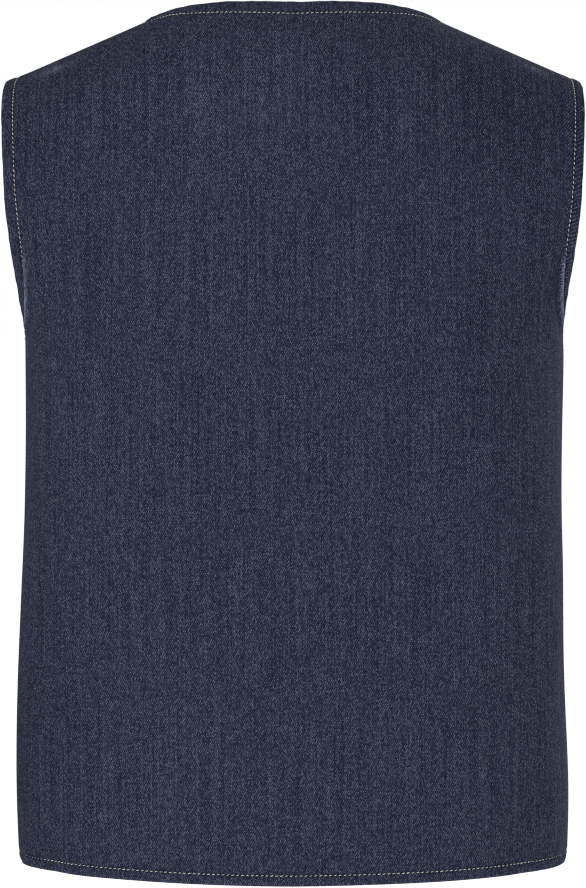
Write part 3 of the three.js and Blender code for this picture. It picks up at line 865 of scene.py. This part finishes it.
# Stitches by Geometry Nodes: each instance follows a line of the sewing, with its own uprightness
stitchInputs = {
    "Pitch": "NodeSocketFloat", "Length": "NodeSocketFloat", "Width": "NodeSocketFloat",
    "Rise": "NodeSocketFloat", "Sink": "NodeSocketFloat", "Slant": "NodeSocketFloat",
    "Jitter": "NodeSocketFloat", "Seed": "NodeSocketInt", "Thread": "NodeSocketMaterial",
}


def stitchTree():
    group = bpy.data.node_groups.new("stitches", "GeometryNodeTree")
    t = Tree(group)
    group.interface.new_socket(name="Lines", in_out="INPUT", socket_type="NodeSocketGeometry")
    for name, kind in stitchInputs.items():
        group.interface.new_socket(name=name, in_out="INPUT", socket_type=kind)
    group.interface.new_socket(name="Stitches", in_out="OUTPUT", socket_type="NodeSocketGeometry")
    given = group.nodes.new("NodeGroupInput")
    need = {socket.name: Signal(t, socket) for socket in given.outputs if socket.name}

    lines = t.add("GeometryNodeMeshToCurve", values={0: need["Lines"]})
    lines = t.add("GeometryNodeResampleCurve", {"mode": "LENGTH"}, {"Curve": lines, "Length": need["Pitch"]})

    half = need["Length"] * 0.5
    arc = t.add("GeometryNodeCurveQuadraticBezier", values={
        "Resolution": 6, "Start": t.place(half * -1, 0.0, need["Sink"] * -1),
        "Middle": t.place(0.0, 0.0, need["Rise"] * 2), "End": t.place(half, 0.0, need["Sink"] * -1),
    })
    share = t.add("GeometryNodeSplineParameter")
    thickness = 0.5 + (share * math.pi).maths("SINE") * 0.5
    section = t.add("GeometryNodeCurvePrimitiveCircle", values={
        "Resolution": 6, "Radius": need["Width"] * 0.5,
    })
    stitch = t.add("GeometryNodeCurveToMesh", values={
        "Curve": arc, "Profile Curve": section, "Scale": thickness, "Fill Caps": True,
    })

    tangent = t.add("GeometryNodeInputTangent")
    outward = t.add("GeometryNodeInputNamedAttribute", {"data_type": "FLOAT_VECTOR"}, {"Name": "outward"})
    turn = t.add("FunctionNodeAlignRotationToVector", {"axis": "X"}, {"Vector": tangent})
    turn = t.add("FunctionNodeAlignRotationToVector", {"axis": "Z", "pivot_axis": "X"}, {
        "Rotation": turn, "Vector": outward,
    })
    wobble = t.add("FunctionNodeRandomValue", {"data_type": "FLOAT"}, {
        2: need["Jitter"] * -1, 3: need["Jitter"], "Seed": need["Seed"],
    }, out=1)
    swing = t.add("FunctionNodeEulerToRotation", values={0: t.place(0.0, 0.0, need["Slant"] + wobble)})
    turn = t.add("FunctionNodeRotateRotation", {"rotation_space": "LOCAL"}, {0: turn, 1: swing})
    size = t.add("FunctionNodeRandomValue", {"data_type": "FLOAT"}, {
        2: 1 - need["Jitter"], 3: 1 + need["Jitter"], "Seed": need["Seed"] + 1,
    }, out=1)
    fullness = t.add("GeometryNodeInputNamedAttribute", {"data_type": "FLOAT"}, {"Name": "fullness"})
    size = size * fullness
    made = t.add("GeometryNodeInstanceOnPoints", values={
        "Points": lines, "Instance": stitch, "Rotation": turn, "Scale": t.place(size, size, fullness),
    })
    made = t.add("GeometryNodeRealizeInstances", values={0: made})
    made = t.add("GeometryNodeSetShadeSmooth", values={0: made})
    made = t.add("GeometryNodeSetMaterial", values={"Geometry": made, "Material": need["Thread"]})
    t.add("NodeGroupOutput", values={0: made})
    return group


# Lays stitches along the lines, each of which is its places, the ways out of the cloth and its fullness
def layStitches(name, lines, sewing, seed):
    points, outward, sizeAt, steps = [], [], [], []
    for places, normals, fullness in lines:
        steps += [(len(points) + i, len(points) + i + 1) for i in range(len(places) - 1)]
        points += [tuple(p) for p in np.asarray(places) * mm]
        outward += [tuple(n) for n in normals]
        sizeAt += list(fullness)
    mesh = bpy.data.meshes.new(name)
    mesh.from_pydata(points, steps, [])
    mesh.attributes.new("outward", "FLOAT_VECTOR", "POINT").data.foreach_set("vector", np.ravel(outward))
    vertexValue(mesh, "fullness", sizeAt)
    piece = bpy.data.objects.new(name, mesh)
    bpy.context.scene.collection.objects.link(piece)
    modifier = piece.modifiers.new("stitches", "NODES")
    modifier.node_group = stitches
    given = {
        "Pitch": sewing["pitch"] * mm, "Length": sewing["length"] * mm, "Width": sewing["wide"] * mm,
        "Rise": sewing["rise"] * mm, "Sink": sewing["sink"] * mm, "Slant": math.radians(sewing["slant"]),
        "Jitter": sewing["jitter"], "Seed": seed, "Thread": ecruThread,
    }
    for socket in stitches.interface.items_tree:
        if socket.in_out == "INPUT" and socket.name in given:
            modifier[socket.identifier] = given[socket.name]
    bpy.context.view_layer.update()
    evaluated = piece.evaluated_get(bpy.context.evaluated_depsgraph_get())
    made = bpy.data.meshes.new_from_object(evaluated)
    piece.modifiers.remove(modifier)
    piece.data = made
    made.name = name
    bpy.data.meshes.remove(mesh)
    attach(piece, "root")
    return piece


# The line on a panel that keeps a distance from one of its edges, where keep is true, on its face or inside
def lineAt(panel, edge, distance, keep, within):
    cloth = panel["inner" if within else "outer"]
    parts = (cloth, panel["far"][edge], panel["outward"], keep, panel["fullness"][edge])
    if edge in ends:
        parts = (np.swapaxes(part, 0, 1) for part in parts)
    cloth, far, outward, keep, fullness = parts
    distances = np.broadcast_to(distance, far.shape[1])
    places, normals, sizes = [], [], []
    for j, distance in enumerate(distances):
        rising = far[:, j] if edge in ("hem", "first") else far[::-1, j]
        i = np.searchsorted(rising, distance)
        if i == 0 or i >= len(rising):
            continue
        t = (distance - rising[i - 1]) / (rising[i] - rising[i - 1])
        low, high = (i - 1, i) if edge in ("hem", "first") else (len(rising) - i, len(rising) - 1 - i)
        if keep[low, j]:
            places.append(mix(cloth[low, j], cloth[high, j], t))
            normals.append(mix(outward[low, j], outward[high, j], t) * (-1 if within else 1))
            sizes.append(fullness[low, j])
    return np.array(places), unit(np.array(normals)), np.array(sizes)


def placeOn(grid, row, column):    # between the points of a grid
    i, j = min(int(row), len(grid) - 2), min(int(column), grid.shape[1] - 2)
    low, high = (mix(grid[k, j], grid[k, j + 1], column - j) for k in (i, i + 1))
    return mix(low, high, row - i)


# Carries the neck's stitching on to the shoulder seam, at the first or the last end of its line
def reachSeam(panel, line, end, within):
    places, normals, sizes = line
    us, cloth = panel["us"], panel["inner" if within else "outer"]
    columns = np.arange(len(us))
    order = slice(None) if end == "last" else slice(None, None, -1)
    side = 1 if end == "last" else -1
    atSeam = vest["neckHalfWidth"] + panel["face"]["neckStitch"][1]
    across = side * panel["outer"][-1, :, 0]
    to = np.interp(atSeam, across[order], columns[order])
    start = np.interp(vest["neckShare"], (side * us)[order], columns[order])
    column = int(round(start))
    fromTop = panel["far"]["top"][:, column]
    row = np.interp(-neckStitch(panel["face"], us[column]), -fromTop, np.arange(len(fromTop)))
    last = len(fromTop) - 1 - edges["shoulderShort"]
    more = [(mix(row, last, t), mix(start, to, t)) for t in np.linspace(*edges["toShoulder"])]
    added = np.array([placeOn(cloth, *at) for at in more])
    facing = unit(np.array([placeOn(panel["outward"], *at) for at in more])) * (-1 if within else 1)
    size = np.full(len(more), sizes[-1 if end == "last" else 0])
    joined = [(places, added), (normals, facing), (sizes, size)]
    if end == "last":
        return tuple(np.concatenate([old, new]) for old, new in joined)
    return tuple(np.concatenate([new[::-1], old]) for old, new in joined)


def ontoCloth(cloth, outward, place):    # moves a place near the cloth out or in to its surface
    nearest = np.argmin(np.sum((cloth - place) ** 2, axis=-1))
    point, normal = cloth.reshape(-1, 3)[nearest], outward.reshape(-1, 3)[nearest]
    return place + normal * np.dot(point - place, normal), normal


# Gives a line more points, each on the cloth, so that it doesn't cut through a bend
def followCloth(panel, line, within):
    places, normals, sizes = line
    cloth = panel["inner" if within else "outer"]
    along = np.concatenate([[0.0], np.cumsum(np.linalg.norm(np.diff(places, axis=0), axis=-1))])
    at = np.linspace(0, along[-1], round(along[-1] / edges["follow"]) + 1)
    between = np.stack([np.interp(at, along, places[:, axis]) for axis in range(3)], axis=-1)
    found = [ontoCloth(cloth, panel["outward"], place) for place in between]
    places, normals = (np.array(part) for part in zip(*found))
    return places, normals * (-1 if within else 1), np.interp(at, along, sizes)


# Carries an armhole's stitching on round the underarm to the side seam
def reachUnderarm(panel, line, end, within):
    places, normals, sizes = line
    cloth, vs = panel["inner" if within else "outer"], panel["vs"]
    row = np.interp(1 - armholeStitch(end) / vest["tube"], vs, np.arange(len(vs)))
    seam = placeOn(cloth, row, 0 if end == "first" else cloth.shape[1] - 1)
    shares = np.linspace(*edges["toUnderarm"])
    found = [ontoCloth(cloth, panel["outward"], mix(seam, places[0], t)) for t in shares]
    added, facing = (np.array(part) for part in zip(*found))
    facing = facing * (-1 if within else 1)
    joined = [(added, places), (facing, normals), (np.full(len(added), sizes[0]), sizes)]
    return tuple(np.concatenate(pair) for pair in joined)


def sewingLines(panel, sides):
    far = panel["far"]
    uu, vv = np.meshgrid(np.abs(panel["us"]), panel["vs"])
    clear = np.ones_like(uu, bool)
    for end, kind in zip(ends, sides):
        if kind == "front":
            clear &= far[end] >= edges["frontStitch"] - edges["slack"]
    sewn = (far["hem"] >= edges["hemStitch"]) & (far["top"] >= neckStitch(panel["face"], uu))
    fromNeck = neckStitch(panel["face"], panel["us"])
    lines = []
    for within in (False, True):
        lines.append(lineAt(panel, "hem", edges["hemStitch"], clear, within))
        neckLine = lineAt(panel, "top", fromNeck, clear & (uu <= vest["neckShare"]), within)
        for end, kind in zip(ends, sides):
            if kind == "side":
                neckLine = reachSeam(panel, neckLine, end, within)
        lines.append(followCloth(panel, neckLine, within))
        for end, kind in zip(ends, sides):
            if kind == "side":
                line = lineAt(panel, end, armholeStitch(end), vv >= edges["underarm"], within)
                lines.append(reachUnderarm(panel, line, end, within))
            else:
                for distance in (edges["frontStitch"], edges["facingStitch"]):
                    lines.append(lineAt(panel, end, distance, sewn, within))
    return lines


# The panels
for face in (back, front):
    face["table"] = sectionTable(face)
sideLimit = 1 - vest["seamGap"] / 2 / vest["round"]
halfColumns = spread(vest["round"] * sideLimit, False, True) / vest["round"]
backColumns = np.concatenate([-halfColumns[:0:-1], halfColumns])
stand = vest["buttonStand"] / vest["round"]
frontColumns = spread(vest["round"] * sideLimit + vest["buttonStand"], True, True) / vest["round"] - stand

denimCloth = newMaterial("denim", denimFinish)
ecruThread = newMaterial("ecru_thread", threadFinish)
stitches = stitchTree()

# Each panel's columns, sides and hand, and its flat size and area
panels = {
    "back": {
        "face": back, "us": backColumns, "sides": ("side", "side"), "hand": 0,
        "flat": (0.466, 0.6), "area": 0.256,
    },
    "front_left": {
        "face": front, "us": frontColumns, "sides": ("front", "side"), "hand": 1,
        "flat": (0.25, 0.585), "area": 0.130,
    },
    "front_right": {
        "face": front, "us": -frontColumns[::-1], "sides": ("side", "front"), "hand": -1,
        "flat": (0.25, 0.585), "area": 0.130,
    },
}
pieces = {}
for name, cut in panels.items():
    panel = panelOf(cut["face"], cut["us"], cut["sides"], cut["hand"])
    piece = sewPanel(name + "_cloth", panel)
    piece.data.materials.append(denimCloth)
    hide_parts(name)
    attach(piece, "root")
    lines = sewingLines(panel, cut["sides"])
    sewn = layStitches(name + "_topstitching", lines, topstitching, topstitching["seed"] + cut["hand"])
    pieces[name] = piece
    print("sewn", name, len(piece.data.polygons), "faces,", len(sewn.data.polygons), "in its stitches")

# The buttons: a domed cap with a rolled rim on a shank, of brass that has darkened in its hollows
button = {
    "count": 6, "top": -110, "bottom": -520, "clearance": 0.35, "sides": 64, "slopeOver": 4,
    # radius and height of the turned outline, from the middle of the cap to the foot of the shank
    "outline": (
        (0, 4.6), (1.2, 4.58), (2.4, 4.5), (3.5, 4.36), (4.3, 4.16), (4.7, 3.96), (4.95, 3.78), (5.2, 3.7),
        (5.5, 3.76), (5.75, 3.96), (6.0, 4.06), (6.4, 4.1), (6.9, 4.06), (7.5, 3.86), (8.0, 3.5), (8.35, 3.0),
        (8.5, 2.55), (8.42, 2.15), (8.15, 1.82), (7.7, 1.66), (6.8, 1.6), (5.2, 1.62), (4.0, 1.5), (3.6, 1.2),
        (3.5, 0.6), (3.5, -0.9),
    ),
    # where it has darkened, as (radius, wide, how much): inside the rim, and low down on the shank
    "rimHollow": (5.25, 0.5, 1), "shankHollow": (3.4, 0.9, 0.7), "capFoot": 2.55,
    # tone and roughness, each as (its own, what a cloud adds, what a hollow adds)
    "tone": (0.72, 0.6, -0.75), "roughness": (0.4, 0.2, 0.25),
    "bright": srgb(150, 126, 88), "dull": srgb(66, 52, 36),
    "cloud": 260.0, "fine": 1900.0, "fineStrength": 0.5, "fineDeep": 0.05,
}


def brassFinish(t):
    at = t.add("ShaderNodeTexCoord", out=3)
    cloud = t.add("ShaderNodeTexNoise", values={"Vector": at, "Scale": button["cloud"], "Detail": 4.0}) - 0.5
    hollow = t.attribute("hollow")
    tone, roughness = (
        cloud * fromCloud + hollow * fromHollow + own
        for own, fromCloud, fromHollow in (button["tone"], button["roughness"])
    )
    colour = t.ramp(tone.limited(), (0.0, button["dull"]), (1.0, button["bright"]))
    fine = t.add("ShaderNodeTexNoise", values={"Vector": at, "Scale": button["fine"], "Detail": 2.0})
    normal = t.add("ShaderNodeBump", values={
        "Strength": button["fineStrength"], "Distance": button["fineDeep"] * mm, "Height": fine,
    })
    return t.add("ShaderNodeBsdfPrincipled", values={
        "Base Color": colour, "Metallic": 1.0, "Roughness": roughness, "Normal": normal,
    })


def frontCentre(z):    # the front's surface on the centre line at a height
    low, high = 0.0, 3.0
    for _ in range(halvings):
        v = (low + high) / 2
        below = smoothSurface(front, np.array([0.0]), [v])[0, 0, 2] < z
        low, high = (v, high) if below else (low, v)
    place = smoothSurface(front, np.array([0.0]), [low])[0, 0]
    place[1] -= foldHeight(front, np.zeros(1), place[2:])[0]
    return place


def turnButton(name, z):
    place = frontCentre(z)
    slope = unit(frontCentre(z + button["slopeOver"]) - frontCentre(z - button["slopeOver"]))
    sideways = np.array((1.0, 0.0, 0.0))
    outward = unit(np.cross(sideways, slope))
    upward = np.cross(outward, sideways)
    place = place + outward * (vest["lapRise"] + button["clearance"])
    outline = np.array(button["outline"], float)
    turn = np.arange(button["sides"]) / button["sides"] * 2 * math.pi
    ring = sideways * np.cos(turn)[:, None] + upward * np.sin(turn)[:, None]
    points = [place + outward * outline[0, 1]]
    for radius, height in outline[1:]:
        points.extend(place + ring * radius + outward * height)
    points.append(place + outward * outline[-1, 1])
    rings = [1 + np.arange(button["sides"]) + i * button["sides"] for i in range(len(outline) - 1)]
    faces = [(0, a, b) for a, b in zip(rings[0], np.roll(rings[0], -1))]
    for near, after in zip(rings, rings[1:]):
        faces += list(zip(near, after, np.roll(after, -1), np.roll(near, -1)))
    faces += [(len(points) - 1, b, a) for a, b in zip(rings[-1], np.roll(rings[-1], -1))]
    piece = meshFrom(name, points, faces)
    piece.data.shade_smooth()
    around = np.repeat(outline[1:], button["sides"], axis=0)
    rows = np.concatenate([outline[:1], around, [(0, outline[-1, 1])]])
    rim, shank = (
        amount * bump((rows[:, 0] - radius) / wide)
        for radius, wide, amount in (button["rimHollow"], button["shankHollow"])
    )
    vertexValue(piece.data, "hollow", np.clip(rim + shank * (rows[:, 1] < button["capFoot"]), 0, 1))
    return piece


brass = newMaterial("brass", brassFinish)
buttonHeights = np.linspace(button["top"], button["bottom"], button["count"])
for number, z in enumerate(buttonHeights, 1):
    cap = turnButton(f"brass_button_{number}", z)
    cap.data.materials.append(brass)
    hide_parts(f"button_{number}")
    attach(cap, "root")
print("turned", button["count"], "buttons")

# Buttonholes in the front that lies on top: a strip of painted shade in each slit, and close stitches round
# it
hole = {
    "outerEnd": 1.0, "innerEnd": -15.4, "halfGap": 1.3, "points": 24, "endTurns": 9,
    # the strip of painted shade in each slit: its width, its rise from the cloth, its colour and roughness
    "slit": 0.5, "slitRise": 0.1, "dark": srgb(17, 19, 31), "roughness": 0.95,
    "lookFrom": -300,          # well in front of the vest
    "sewing": {
        "pitch": 0.5, "length": 2.1, "wide": 0.42, "rise": 0.34, "sink": 0.22, "slant": 90, "jitter": 0.06,
        "seed": 31,
    },
}


def onFront(x, z):    # the outer face of the top front straight ahead of (x, z), and the way out of it
    start, way = Vector((x, hole["lookFrom"], z)) * mm, Vector((0, 1, 0))
    place, normal = pieces["front_right"].ray_cast(start, way)[1:3]
    return np.array(place) / mm, np.array(normal)


# the painted shade in a slit
def slitShadeFinish(t):
    return t.add("ShaderNodeBsdfPrincipled", values={
        "Base Color": hole["dark"], "Roughness": hole["roughness"],
    })


def holeLine(z):    # along the top of a slit, round its inner end and back below it
    run = np.linspace(hole["outerEnd"], hole["innerEnd"], hole["points"])
    turn = np.linspace(0, math.pi, hole["endTurns"])[1:-1]
    gap = hole["halfGap"]
    around = [(x, z + gap) for x in run]
    around += [(hole["innerEnd"] - gap * math.sin(a), z + gap * math.cos(a)) for a in turn]
    around += [(x, z - gap) for x in run[::-1]]
    places, normals = (np.array(part) for part in zip(*(onFront(*at) for at in around)))
    return places, normals, np.ones(len(around))


# lays a strip of painted shade along each slit, just out from the cloth
def shadeSlits(name):
    points, faces = [], []
    for z in buttonHeights:
        for x in np.linspace(hole["outerEnd"], hole["innerEnd"], hole["points"]):
            place, normal = onFront(x, z)
            place = place + normal * hole["slitRise"]
            points += [place + (0, 0, hole["slit"] / 2), place - (0, 0, hole["slit"] / 2)]
        ring = range(len(points) - 2 * hole["points"], len(points) - 2, 2)
        faces += [(i, i + 2, i + 3, i + 1) for i in ring]
    return meshFrom(name, points, faces)


bpy.context.view_layer.update()
holeLines = [holeLine(z) for z in buttonHeights]
worked = layStitches("buttonhole_stitching", holeLines, hole["sewing"], hole["sewing"]["seed"])
slit = shadeSlits("buttonhole_slit_shade")
slit.data.materials.append(newMaterial("slit_shade", slitShadeFinish))
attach(slit, "root")
print("worked the buttonholes,", len(worked.data.polygons), "faces")

# A pale floor, soft light and a level camera behind the vest
studio = {
    "floorZ": -0.95, "floorHalf": 30.0,
    "near": (0.9, 0.9, 0.9, 1.0), "far": (1.0, 1.0, 1.0, 1.0), "fade": 3.5,
    "sky": (1.0, 1.0, 1.0, 1.0), "skyStrength": 1.0,
    # name, place, aimed at, size, power
    "lamps": (
        ("key", (0.95, 3.1, -0.7), (0, 0, -0.35), 0.9, 70),
        ("front_key", (-2.6, -2.3, 0.9), (0, 0, -0.3), 1.2, 75),
    ),
}
photo = {
    "high": 888, "distance": 3.0, "height": -0.278, "mmPerPixel": 0.66, "sensor": 36.0,
    "filter": 1.2,             # a crisp pixel, as in the photograph
}


def matteFinish(t):
    at = t.add("ShaderNodeTexCoord", out=3)
    away = t.add("ShaderNodeVectorMath", {"operation": "LENGTH"}, {0: at}, out=1)
    colour = t.blend((away / studio["fade"]).limited(), studio["near"], studio["far"])
    return t.add("ShaderNodeBsdfPrincipled", values={
        "Base Color": colour, "Roughness": 1.0, "Specular IOR Level": 0.0,
    })


half = studio["floorHalf"]
corners = [(-half, -half), (half, -half), (half, half), (-half, half)]
floor = meshFrom("floor", [(x / mm, y / mm, studio["floorZ"] / mm) for x, y in corners], [(0, 1, 2, 3)])
floor.data.materials.append(newMaterial("floor_matte", matteFinish))

world = bpy.data.worlds.new("studio")
world.use_nodes = True
sky = world.node_tree.nodes["Background"]
sky.inputs["Color"].default_value = studio["sky"]
sky.inputs["Strength"].default_value = studio["skyStrength"]
bpy.context.scene.world = world
for name, place, aim, size, power in studio["lamps"]:
    light = bpy.data.lights.new(name, "AREA")
    light.size, light.energy = size, power
    lamp = bpy.data.objects.new(name, light)
    lamp.location = place
    lamp.rotation_euler = (Vector(aim) - Vector(place)).to_track_quat("-Z", "Y").to_euler()
    bpy.context.scene.collection.objects.link(lamp)

lens = bpy.data.cameras.new("camera")
lens.sensor_width = photo["sensor"]
lens.lens = photo["sensor"] * photo["distance"] / (photo["high"] * photo["mmPerPixel"] * mm)
camera = bpy.data.objects.new("camera", lens)
camera.location = (0, photo["distance"], photo["height"])
camera.rotation_euler = (math.radians(90), 0, math.radians(180))
bpy.context.scene.collection.objects.link(camera)
bpy.context.scene.camera = camera
bpy.context.scene.view_settings.view_transform = "Standard"
bpy.context.scene.cycles.filter_width = photo["filter"]
print("set the studio")
